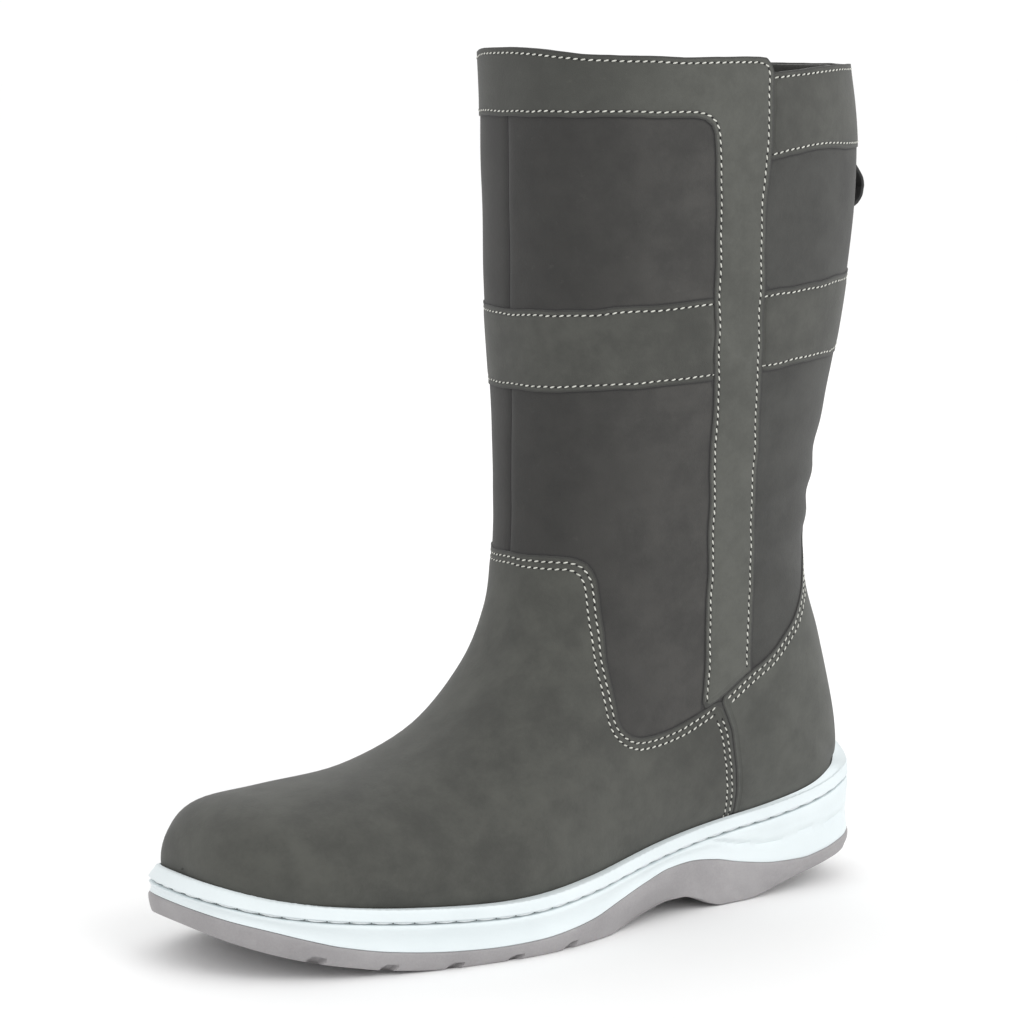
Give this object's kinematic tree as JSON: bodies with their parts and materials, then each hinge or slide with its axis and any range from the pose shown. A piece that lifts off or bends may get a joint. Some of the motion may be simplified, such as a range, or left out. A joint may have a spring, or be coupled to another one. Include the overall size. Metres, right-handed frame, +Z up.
{
  "type": "deck boot",
  "caption": "Calf-height leather deck boot for the left foot: lasted upper with collar, bands and side straps, white cup midsole, rubber outsole and rear pull loop.",
  "frame": {"origin": "middle of the boot's box on the ground that the sole stands on", "axes": "+X from heel to toe, +Y to the outer side of the left foot, +Z up the shaft"},
  "size_m": [0.3006, 0.1114, 0.324],
  "materials": {
    "nubuck": "matt greenish-grey nubuck with raw cut edges",
    "shaft_suede": "darker matt waxed suede",
    "lining_fabric": "woven textile lining",
    "facing_leather": "smooth lining leather",
    "white_foam": "smooth white moulded foam",
    "sole_rubber": "matt grey rubber",
    "footbed_foam": "cut foam",
    "footbed_leather": "brushed leather sock",
    "fibre_board": "pressed fibre board",
    "cork": "ground cork paste",
    "shank_steel": "sprung steel strip",
    "stiffener": "thermoplastic stiffener sheet"
  },
  "bodies": {
    "boot": {"outsole": "sole_rubber", "midsole": "white_foam", "rand": "white_foam", "forefoot_filler": "cork", "shank": "shank_steel", "insole_board": "fibre_board", "vamp": "nubuck", "heel_foxing": "nubuck", "collar_and_straps": "nubuck", "rear_collar": "nubuck", "front_band": "nubuck", "rear_band": "nubuck", "front_panel_outer": "shaft_suede", "front_panel_inner": "shaft_suede", "rear_panel": "shaft_suede", "toe_puff": "stiffener", "heel_counter": "stiffener", "foot_lining": "lining_fabric", "shaft_lining": "lining_fabric", "collar_facing": "facing_leather"},
    "loop": {"pull_loop": "nubuck"},
    "insole": {"footbed": "footbed_foam", "footbed_cover": "footbed_leather"}
  },
  "joints": [
    {"name": "pull_loop_swing", "type": "hinge", "parent": "boot", "child": "loop", "pos_m": [-0.14245, 0, 0.2808], "axis": [0, 1, 0], "range_deg": [0, 135]},
    {"name": "footbed_lift", "type": "hinge", "parent": "boot", "child": "insole", "pos_m": [0.13875, 0, 0.0308], "axis": [0, 1, 0], "range_deg": [0, 4.5]}
  ]
}
